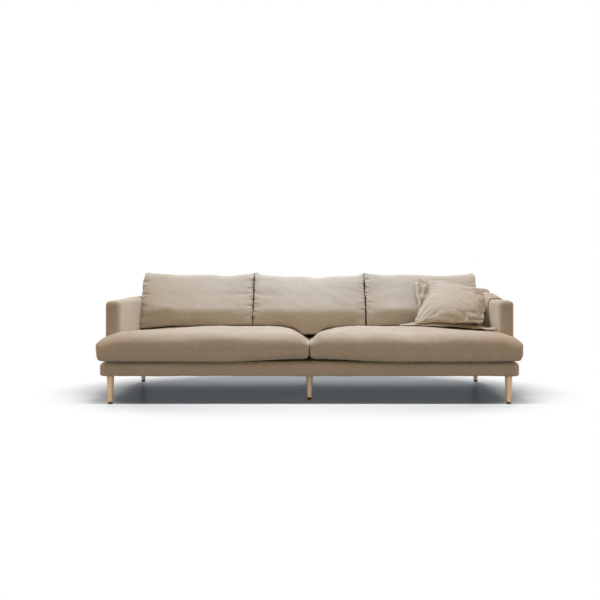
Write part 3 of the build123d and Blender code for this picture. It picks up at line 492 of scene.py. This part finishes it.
def lofted(name, rings, voxel, smooth):
    """A closed piece through rings of points, its ends filled, in even quads."""
    each = len(rings[0])
    last = (len(rings) - 1) * each
    faces = []
    for ring in range(0, last, each):
        for j in range(each):
            ahead = (j + 1) % each
            faces.append((ring + j, ring + ahead, ring + each + ahead, ring + each + j))
    faces.append(tuple(reversed(range(each))))
    faces.append(tuple(range(last, last + each)))
    mesh = bpy.data.meshes.new(name)
    mesh.from_pydata(np.concatenate(rings).tolist(), [], faces)
    piece = new_piece(name, mesh)
    remesh(piece, voxel, smooth)
    return piece


seat_tops = {side: surface(bpy.data.objects[f"seat_cushion_{side}"]) for side in ("left", "right")}
SEAT_INNER = 0.012  # where a seat's top starts and ends, from the middle of the sofa
SEAT_OUTER = 1.14
SEAT_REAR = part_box("seat_core_left")[1].y - 0.035


def on_seat(x, y):
    """The height of the seats under a point, or under the nearest point that they reach."""
    reached = min(max(abs(x), SEAT_INNER), SEAT_OUTER)
    top = seat_tops["left" if x < 0 else "right"]
    above = Vector((reached if x > 0 else -reached, min(y, SEAT_REAR), 1))
    return top.ray_cast(above, DOWN)[0].z


CREST = 0.783  # the height that the top sags from
BELLY_MIDDLE = 0.086  # where the belly comes to, measured along Y, at the middle
BELLY_SIDE = 0.138  # and at the side seams
# The front of a cushion from its brow down to its underside: behind the belly, share of height.
FRONT_MIDDLE = np.array((
    (0.184, 0.95), (0.137, 0.81), (0.079, 0.61), (0.036, 0.46), (0.004, 0.34), (0.008, 0.23),
    (0.034, 0.11), (0.045, 0.0), (0.16, 0.0),
))
FRONT_SIDE = np.array((
    (0.132, 0.95), (0.102, 0.81), (0.064, 0.61), (0.034, 0.46), (0.014, 0.32), (0.003, 0.2),
    (-0.002, 0.1), (0.006, 0.012), (0.1, 0.0),
))
WAVER = 0.045  # the belly rises and falls by up to this share of the height
# How the top sags: all along, and in dips (share of the width, depth, width of the dip).
SAGS = {
    "left": (0.006, ((0.35, 0.003, 0.25), (0.73, 0.016, 0.12))),
    "centre": (0.022, ((0.29, 0.006, 0.08), (0.575, 0.012, 0.08))),
    "right": (0.011, ((0.24, 0.008, 0.1), (0.71, 0.01, 0.13))),
}
SETTLED = 0.11  # the underside gives way to the seat up to this height
for side, (sag, dips) in SAGS.items():
    low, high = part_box(f"back_cushion_cover_{side}")
    foot, rear = low.z, high.y
    rings = []
    for share in np.linspace(0, 1, 61):
        out = abs(2 * share - 1)  # 0 in the middle and 1 at a side seam
        dip = sag + sum(deep * mound(share, at, width) for at, deep, width in dips)
        top = CREST - dip * (1 - out ** 8) + 0.005 * out ** 30
        slack = 1 - out ** 4
        front = FRONT_SIDE + (FRONT_MIDDLE - FRONT_SIDE) * slack
        # Each cushion wavers in its own way, as its sag picks another line of the same field.
        waver = WAVER * ripple(np.array([[share * 0.75, 0, sag * 100]]), 0.11, 47)[0]
        front[:, 1] += waver * slack * mound(front[:, 1], 0.24, 0.12)
        belly = BELLY_SIDE + (BELLY_MIDDLE - BELLY_SIDE) * (1 - out ** 3)
        corners = [
            (rear - 0.048, foot + 0.002), (rear + 0.002, top - 0.03), (rear - 0.004, top + 0.004),
            (rear - 0.06, top + 0.004), (rear - 0.118, top + 0.001),
        ]
        corners += [(belly + behind, foot + up * (top - foot)) for behind, up in front]
        loop = rounded_loop(corners)
        x = low.x + share * (high.x - low.x)
        rings.append(np.column_stack([np.full(len(loop), x), loop]))
    cushion = lofted(f"back_cushion_{side}", rings, 0.005, 1)
    points, facing = points_of(cushion)
    low, high = points.min(axis=0), points.max(axis=0)

    # Gathers down both side seams, front and back: short ones, and a long one at every fourth.
    seed = 50 + 10 * list(SAGS).index(side)
    swell = np.zeros(len(points))
    for k, (edge, sign) in enumerate(((low[0], 1), (high[0], -1))):
        across = np.clip((points[:, 0] - edge) * sign, 0, None)
        places = np.arange(low[2] + 0.02, high[2], GATHER_STEP)
        swell += creases(points[:, 2], across, places, 0.038, 0.0075, 0.0055, seed + k)
        swell += creases(points[:, 2], across, places[2::4], 0.2, 0.004, 0.011, seed + k + 20)
        pull = mound(across, 0, 0.02) * (0.002 * ripple(points, 0.03, seed + 5) + 0.003)
        points[:, 0] += sign * pull
    swell *= ramp(np.abs(facing[:, 1]), 0.2, 0.6)
    swell += 0.003 * ripple(points * [1, 0.5, 1], 0.22, seed + 2)
    swell += 0.0008 * ripple(points * [0.5, 1, 1], 0.05, seed + 3)
    points += facing * swell[:, None]

    # It settles on the seats, and hangs into the dip between them.
    low = points[:, 2].min()
    for k in np.nonzero(points[:, 2] < low + SETTLED)[0]:
        x, y, z = points[k]
        space = min(max(low - on_seat(x, y), -0.03), 0.052)
        points[k, 2] -= space * ramp(z, low + SETTLED, low + 0.012)
    if side == "right":  # its top spreads over the arm
        points[:, 0] += 0.01 * ramp(points[:, 0], 0.9, 1.15) * ramp(points[:, 2], 0.64, 0.76)
    move_points(cushion, points)
    dress(
        cushion, washed_linen, f"back_cushion_{side}",
        [f"back_core_{side}", f"back_cushion_cover_{side}"],
    )

# ------------------------------------------------------------------ zips
# Cotton tape with moulded teeth, dyed to the linen, with a die-cast slider and pull.

# Moulded acetal on cotton tape: one tooth each 1.5 mm, with a soft plastic shine.
mat, teeth = begin("moulded_zip", (0.0015, 0.02, 0.02), 0.0)
acetal = add(mat, "ValToRGB", {"Fac": teeth}, ((0.4, "A08E75"), (0.6, "C2B096")))[0]
zip_plastic = close(mat, acetal, 0.5, teeth, 0.0004)
ZIPS = [f"seat_zip_{side}" for side in ("left", "right")]
ZIPS += [f"back_zip_{side}" for side in ("left", "centre", "right")]
paint(zip_plastic, *ZIPS)
paint(zinc_plate, *[name.replace("zip", "zip_slider") for name in ZIPS])

# ------------------------------------------------------------------ scatter cushion
# A square feather cushion with a knife edge all round: two flat panels sewn together and filled,
# so that the sides pull in and the seams pucker. Its corners are blunt, and it leans back on the
# right back cushion.
CLOTH_SIDE = 0.432  # of the panels, cut flat
CELLS = 60
FILL_STEPS = 26
SCATTER_SIDE = 0.425  # from corner to corner once filled
SCATTER_DEPTH = 0.122
PANEL_OFF = 0.002  # each panel starts this far from the seam's plane
line = np.linspace(-CLOTH_SIDE / 2, CLOTH_SIDE / 2, CELLS + 1)
panel = np.array([(x, y, 0.0) for y in line for x in line])
index = np.arange((CELLS + 1) ** 2).reshape(CELLS + 1, CELLS + 1)
edge = np.zeros(index.shape, bool)
edge[[0, -1], :] = True
edge[:, [0, -1]] = True
inner = ~edge.ravel()
under = index.copy()
under[~edge] = len(panel) + np.arange(inner.sum())
upper = panel + [0, 0, PANEL_OFF] * inner[:, None]
lower = panel[inner] - [0, 0, PANEL_OFF]
faces = []
for j in range(CELLS):
    for k in range(CELLS):
        faces.append(index[[j, j, j + 1, j + 1], [k, k + 1, k + 1, k]].tolist())
        faces.append(under[[j, j + 1, j + 1, j], [k, k, k + 1, k + 1]].tolist())
mesh = bpy.data.meshes.new("scatter_cushion")
mesh.from_pydata(np.vstack([upper, lower]).tolist(), [], faces)
scatter = new_piece("scatter_cushion", mesh)
points, facing = points_of(scatter)
points[:, 2] += 0.002 * ripple(points, 0.045, 91)
move_points(scatter, points)
cloth = scatter.modifiers.new("Filled", "CLOTH")
cloth.settings.quality = 6
cloth.settings.mass = 0.25
cloth.settings.tension_stiffness = 40
cloth.settings.compression_stiffness = 40
cloth.settings.shear_stiffness = 8
cloth.settings.bending_stiffness = 0.05
cloth.settings.use_pressure = True
cloth.settings.uniform_pressure_force = 1.6
cloth.settings.effector_weights.gravity = 0
cloth.point_cache.frame_start = 1
cloth.point_cache.frame_end = FILL_STEPS
for step in range(1, FILL_STEPS + 1):
    bpy.context.scene.frame_set(step)
settle(scatter)
bpy.context.scene.frame_set(1)

# Brought to size, with the feathers sunk to its lower half.
points, facing = points_of(scatter)
extent = points.max(axis=0) - points.min(axis=0)
points -= (points.max(axis=0) + points.min(axis=0)) / 2
points *= [SCATTER_SIDE / extent[0], SCATTER_SIDE / extent[1], SCATTER_DEPTH / extent[2]]
points[:, 2] *= 1 - 0.5 * points[:, 1] / SCATTER_SIDE

# Its corners are blunt: they end on a squarish curve. across and up run from -1 to 1 over it.
CORNER_REACH = 1.05
across, up = 2 * points[:, :2].T / SCATTER_SIDE
half = SCATTER_SIDE / 2
out = np.clip((across ** 6 + up ** 6) ** (1 / 6), 0.01, None)
points[:, :2] *= np.minimum(1, CORNER_REACH / out)[:, None]

# Gathers along the sides and the lower seam, with deeper ones on the right.
SEAM_FLAT = 0.02  # the cloth is flat this far in from the seam
DEEP_GATHERS = (-0.19, -0.165, -0.14, -0.11, -0.05, 0.08, 0.105, 0.13, 0.155, 0.18)
gathers = np.zeros(len(points))
for k, (along, inward) in enumerate((
    (points[:, 1], half - points[:, 0]), (points[:, 1], half + points[:, 0]),
    (points[:, 0], half + points[:, 1]),
)):
    inward = np.clip(inward - SEAM_FLAT, 0, None)
    places = np.arange(-0.19, 0.2, GATHER_STEP)
    gathers += creases(along, inward, places, 0.04, 0.0095, 0.006, 93 + k)
    if k == 0:
        gathers += creases(along, inward, DEEP_GATHERS, 0.085, 0.016, 0.008, 97)
points[:, 2] += gathers * np.sign(points[:, 2]) * ramp(np.abs(points[:, 2]), 0, 0.01)
seam = mound(np.abs(points[:, 0]), half, 0.03)
points[:, 0] += 0.004 * seam * ripple(points * [0, 1, 0], 0.022, 99)

# It leans back, turned a little and tipped in its own plane.
low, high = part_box("scatter_core")
lean = Matrix.Rotation(radians(-6.7), 3, "Z") @ Matrix.Rotation(radians(39), 3, "X")
lean = np.array(lean @ Matrix.Rotation(radians(-7.6), 3, "Z"))
points = points @ lean.T + (np.array(low) + np.array(high)) / 2

# It slumps: the sides and corners lie off those of a stiff square by this much.
SLUMPS = (
    (-1, 1, (0.026, 0, 0.016)), (1, 1, (0.008, -0.085, -0.02)),
    (-1, -1, (-0.028, 0, -0.006)), (1, -1, (-0.008, 0, 0.036)),
)
SIDE_PULL = 0.034  # the left side is drawn in above its middle
for right, top, slump in SLUMPS:
    share = (1 + right * across) * (1 + top * up) / 4
    points += share[:, None] * slump
points[:, 0] += SIDE_PULL * ((1 - across) / 2) ** 2 * mound(up, 0.35, 0.42)
move_points(scatter, points)
smoother = scatter.modifiers.new("Fine", "SUBSURF")
smoother.levels = 1
settle(scatter)
dress(scatter, washed_linen, "scatter_cushion", ["scatter_core", "scatter_cover"])

# ------------------------------------------------------------------ throw
# A soft creamy linen throw. It lies on the seat with a wavy front hem, goes up the back cushion
# behind the scatter cushion with its edge bunched, and goes over the arm in a loose roll.

# Throw linen: softer and lighter yarns, drawn 2.4 mm apart, with slubs 30 mm long.
throw_linen = linen_weave("throw_linen", ("BFB19B", "CCC0AC", "D8CEBE"), 0.0024, 0.03, 0.2)
back_front = surface(bpy.data.objects["back_cushion_right"])
arm_skin = surface(bpy.data.objects["arm_upholstery_right"])


def before_back(x, z):
    """How far forward the back cushion comes at a height; it hangs straight below its belly."""
    return back_front.ray_cast(Vector((x, -1, max(z, 0.53))), Vector((0, 1, 0)))[0].y


STEP = 0.007  # from one point of the sheet to the next
SEAT_RIGHT = 1.152  # measured along X: where it turns up from the seat to the arm,
BACK_RIGHT = 1.13  # and where it ends on the back cushion
ARM_FRONT = -0.115  # measured along Y: its front edge over the arm,
BELLY_Y = 0.083  # and where it turns up from the seat to the back cushion
OFF = 0.004  # from the cover below out to the sheet
CLIMB = 0.36  # the most that it goes up the back cushion, along the cloth
RISING = 0.86  # and how steeply, as height over length
# Seen from above: its front hem. Seen from the front: the edge that goes up the back cushion, and
# its upper hem behind the scatter cushion.
HEM = ((0.58, -0.12), (0.70, -0.115), (0.80, -0.15), (1.04, -0.15), (1.09, -0.2), (1.152, -0.33))
EDGE = ((0.44, 0.705), (0.48, 0.722), (0.53, 0.736), (0.60, 0.734), (0.66, 0.73), (0.75, 0.74))
UPPER = ((0.7, 0.728), (0.79, 0.728), (0.9, 0.69), (1.13, 0.60))
# The hem stands off the seat in places: (X, half width, height).
LIFTS = ((0.93, 0.075, 0.014), (1.095, 0.03, 0.016), (1.15, 0.02, 0.018), (0.79, 0.03, 0.005))
# Over the arm in a loose roll, seen from the front; it is drawn tight at its front edge.
LOOSE = np.array((
    (1.148, 0.47), (1.150, 0.60), (1.152, 0.635), (1.164, 0.654), (1.185, 0.655), (1.215, 0.648),
    (1.242, 0.632), (1.2575, 0.60), (1.258, 0.5), (1.258, 0.4),
))
run = np.concatenate([[0], np.cumsum(np.hypot(*np.diff(LOOSE, axis=0).T))])
columns = int((SEAT_RIGHT - 0.715) / STEP)
arm_columns = np.arange(STEP, run[-1], STEP)
back_rows = np.arange(STEP, CLIMB, STEP)
seat_rows = 46
grid = {}
places = []


def put(column, row, place):
    """Adds a point of the sheet."""
    grid[column, row] = len(places)
    places.append(place)


for column in range(columns + 1):
    across = column / columns
    for row in range(seat_rows):
        share = row / (seat_rows - 1)
        left = HEM[0][0] + (EDGE[0][1] - HEM[0][0]) * share
        x = left + (SEAT_RIGHT - left) * across
        hem = np.interp(x, *zip(*HEM))
        y = hem + (BELLY_Y - hem) * share
        lifted = sum(high * mound(x, at, wide) for at, wide, high in LIFTS)
        behind = y - hem
        rise = lifted * (1 - ramp(behind, 0, 0.07)) + 0.003
        fold = 0.017 * ramp(x, 0.6, 0.72) * mound(behind, 0.04, 0.024)  # a soft one behind the hem
        rise += fold + 0.004 * ramp(behind, 0, 0.06)
        rise += 0.02 * ramp(y, BELLY_Y - 0.1, BELLY_Y)
        put(column, row, (x, y, on_seat(x, y) + rise))
    start = places[-1][2]
    for row, up in enumerate(back_rows, seat_rows):
        z = start + up * RISING
        left = np.interp(z, *zip(*EDGE))
        x = left + (SEAT_RIGHT - left) * across
        upper = np.interp(x, *zip(*UPPER))
        if x > BACK_RIGHT or z > upper + RISING * STEP:
            break
        z = min(z, upper)
        put(column, row, (x, before_back(x, z) - OFF, z))
first = min(row for row in range(seat_rows) if places[grid[columns, row]][1] > ARM_FRONT)
for row in range(first, seat_rows):
    y = places[grid[columns, row]][1]
    foot = places[grid[columns, row]][2] + 0.012
    loose = min((row - first) / 9, 1) ** 0.8
    for column, along in enumerate(arm_columns, columns + 1):
        x = np.interp(along, run, LOOSE[:, 0])
        z = np.interp(along, run, LOOSE[:, 1])
        if z < 0.6 and x < 1.2:  # up the arm's inner side, from the seat and not from 0.47
            z = foot + (z - 0.47) * (0.6 - foot) / 0.13
        slack = Vector((x, ARM_FRONT + (y - ARM_FRONT) * 1.2, z))
        spot, outward = arm_skin.find_nearest(slack)[:2]
        put(column, row, tuple((spot + outward * OFF).lerp(slack, loose)))
faces = [
    [grid[c, r], grid[c + 1, r], grid[c + 1, r + 1], grid[c, r + 1]]
    for c, r in grid
    if (c + 1, r) in grid and (c + 1, r + 1) in grid and (c, r + 1) in grid
]
mesh = bpy.data.meshes.new("throw_sheet")
mesh.from_pydata([tuple(map(float, place)) for place in places], [], faces)
throw = new_piece("throw_sheet", mesh)
shape = bmesh.new()
shape.from_mesh(mesh)
bmesh.ops.delete(shape, geom=[v for v in shape.verts if not v.link_faces], context="VERTS")
shape.to_mesh(mesh)
shape.free()

# Folds: pleats bunched at the edge that goes up the back cushion, others that fan out from where
# it is tucked in, gathers that climb the arm, and slack swells on the seat.
TUCK_X, TUCK_Z = 0.79, 0.702
points, facing = points_of(throw)
x, y, z = points.T
on_back = ramp(z, 0.46, 0.53) * (x < BACK_RIGHT)
beside = x - np.interp(z, *zip(*EDGE))
bunch = on_back * mound(beside, 0, 0.08)
crumple = np.abs(ripple(points * [1.3, 1, 0.8], 0.045, 71))
swell = bunch * (0.015 * crumple + 0.003) + on_back * 0.01 * mound(beside, 0.012, 0.012)
swell += on_back * 0.003 * (1 + ripple(points * [1, 1, 0.3], 0.06, 73))
spoke = np.arctan2(z - TUCK_Z, x - TUCK_X)
reach = np.hypot(x - TUCK_X, z - TUCK_Z)
fan = 1 - np.abs(np.sin(4.5 * spoke + 12 * reach))
swell += on_back * 0.02 * fan * mound(reach, 0, 0.055)
swell -= on_back * 0.012 * mound(reach, 0, 0.014)
swell += on_back * 0.016 * np.exp(-((x - 0.766) / 0.024) ** 2 - ((z - 0.612) / 0.02) ** 2)
on_arm = (x > 1.145) & (y > ARM_FRONT - 0.001)
climb = np.where(on_arm, ramp(z, 0.44, 0.5) * ramp(y, ARM_FRONT, ARM_FRONT + 0.05), 0)
pleats = np.sin(2 * pi * y / 0.03 + ripple(points * [0, 0, 1], 0.1, 74))
swell += climb * (0.0035 * (1 + pleats) + 0.002 * (1 + ripple(points, 0.05, 75)))
swell += 0.002 * (1 + ripple(points, 0.07, 76)) * ~on_arm * (1 - on_back)
points += facing * swell[:, None]
points[:, 0] += bunch * 0.006 * ripple(points * [0, 0, 1], 0.05, 77)
move_points(throw, points)
thick = throw.modifiers.new("Cloth", "SOLIDIFY")
thick.thickness = 0.003
thick.offset = 0
smoother = throw.modifiers.new("Fine", "SUBSURF")
smoother.levels = 1
settle(throw)
dress(throw, throw_linen, "throw", ["throw"])

# ------------------------------------------------------------------ studio
# A white floor that keeps the sofa's shadow, and a white surround. The sofa has a dome, two soft
# boxes overhead, a light from each side and a low card for its legs; the floor has its own lights.
FLOOR_REACH = 40
floor_mesh = bpy.data.meshes.new("floor")
floor_mesh.from_pydata(
    [(x * FLOOR_REACH, y * FLOOR_REACH, 0) for x, y in ((-1, -1), (1, -1), (1, 1), (-1, 1))],
    [], [(0, 1, 2, 3)],
)
floor = new_piece("floor", floor_mesh)
floor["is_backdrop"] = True


def seen(mat):
    """1 on a ray that shows something, straight or by way of gloss or glass, and 0 on a ray that
    only carries light."""
    rays = add(mat, "LightPath")
    direct = {0: rays["Is Camera Ray"], 1: rays["Is Glossy Ray"]}
    shown = add(mat, "Math", direct, operation="MAXIMUM")[0]
    return add(mat, "Math", {0: shown, 1: rays["Is Transmission Ray"]}, operation="MAXIMUM")[0]


# White card: it clears to plain white a short way outside the sofa, and throws less light back.
mat = bpy.data.materials.new("white_card")
mat.use_nodes = True
mat.node_tree.nodes.clear()
card = add(mat, "BsdfDiffuse", {"Color": linear("F4F4F4")})[0]
plain = add(mat, "Emission", {"Color": (1, 1, 1, 1), "Strength": 1.0})[0]
place = add(mat, "TexCoord")["Object"]
squeezed = add(mat, "Mapping", {"Vector": place, "Scale": (0.52, 1.0, 0.0)})[0]
away = add(mat, "VectorMath", {0: squeezed}, operation="LENGTH")["Value"]
clearing = {"Value": away, "From Min": 0.66, "From Max": 0.95}
clear = add(mat, "MapRange", clearing, interpolation_type="SMOOTHSTEP")["Result"]
white = add(mat, "MixShader", {0: clear, 1: card, 2: plain})[0]
dim = add(mat, "BsdfDiffuse", {"Color": linear("8C8882")})[0]
add(mat, "OutputMaterial", {"Surface": add(mat, "MixShader", {0: seen(mat), 1: dim, 2: white})[0]})
floor_mesh.materials.append(mat)

world = bpy.data.worlds.new("studio")
bpy.context.scene.world = world
world.use_nodes = True
world.node_tree.nodes.clear()
white = add(world, "Background", {"Color": (1, 1, 1, 1), "Strength": 1.0})[0]
add(world, "OutputWorld", {"Surface": add(world, "MixShader", {0: seen(world), 2: white})[0]})

# What each light falls on, and what casts a shadow in the glow on the floor from each side.
on_sofa = bpy.data.collections.new("lit_sofa")
on_floor = bpy.data.collections.new("lit_floor")
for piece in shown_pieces():
    on_sofa.objects.link(piece)
on_floor.objects.link(floor)
on_legs = bpy.data.collections.new("lit_legs")
for name in LEGS:
    on_legs.objects.link(nodes[name])
shading = {side: bpy.data.collections.new(f"shading_{side}") for side in ("left", "right")}
for side, group in shading.items():
    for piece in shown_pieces():
        if piece.name not in LEGS or piece.name == f"leg_back_{side}":
            group.objects.link(piece)


def lamp(name, kind, place, towards, strength, colour, receivers, shaded_by=None, **size):
    """A light at a place, shining along a direction on to what it is meant for."""
    data = bpy.data.lights.new(name, kind)
    data.energy = strength
    data.color = colour
    for key, value in size.items():
        setattr(data, key, value)
    light = bpy.data.objects.new(name, data)
    light.location = place
    light.rotation_euler = Vector(towards).to_track_quat("-Z", "Y").to_euler()
    light.light_linking.receiver_collection = receivers
    light.light_linking.blocker_collection = shaded_by
    bpy.context.scene.collection.objects.link(light)


COOL = (0.51, 0.735, 1)  # the soft boxes overhead
lamp("dome", "SUN", (0, 0, 3), (0, 0, -1), 1.42, (1, 0.755, 0.55), on_sofa, angle=radians(170))
lamp(
    "soft_box", "AREA", (0, 0.3, 2.1), (0, -0.1, -1), 22.5, COOL, on_sofa,
    shape="RECTANGLE", size=2.3, size_y=0.5,
)
lamp(
    "front_box", "AREA", (0, -0.4, 2.1), (0, 0, -1), 8, COOL, on_sofa,
    shape="RECTANGLE", size=2.3, size_y=0.3,
)
for side, sign in (("left", -1), ("right", 1)):
    lamp(
        f"side_light_{side}", "SUN", (sign * 3, 0, 3), (-sign * 1.2, 0, -1), 0.7, (1, 0.74, 0.54),
        on_sofa, angle=radians(60),
    )
    lamp(
        f"floor_glow_{side}", "SUN", (sign * 1, 3, 1), (-sign * 0.25, -1, -0.17), 0.84,
        (0.81, 0.9, 1), on_floor, shading[side], angle=radians(4),
    )
lamp("low_card", "SUN", (0, -3, 0), (0, 1, -0.05), 2.6, (0.8, 0.85, 1), on_legs, angle=radians(60))
lamp(
    "floor_light", "AREA", (0, -1.25, 2.7), (0, 0.42, -1), 77, (0.98, 0.99, 1), on_floor,
    shape="RECTANGLE", size=1.9, size_y=0.25,
)
lamp(
    "back_light", "SUN", (0, 3, 3), (0, -1, -0.7), 0.98, (0.89, 0.95, 1), on_floor,
    angle=radians(30),
)
lamp("high_light", "SUN", (0, 1, 3), (0, -0.4, -1), 0.43, (1, 1, 1), on_floor, angle=radians(40))

camera = bpy.data.cameras.new("camera")
camera.lens = 40.4
camera.sensor_width = 36
camera.shift_x = -0.0158
camera.shift_y = -0.0508
eye = bpy.data.objects.new("camera", camera)
eye.location = (0, -4.476, 0.813)
eye.rotation_euler = (radians(90), 0, 0)
bpy.context.scene.collection.objects.link(eye)
bpy.context.scene.camera = eye
bpy.context.scene.view_settings.view_transform = "Standard"
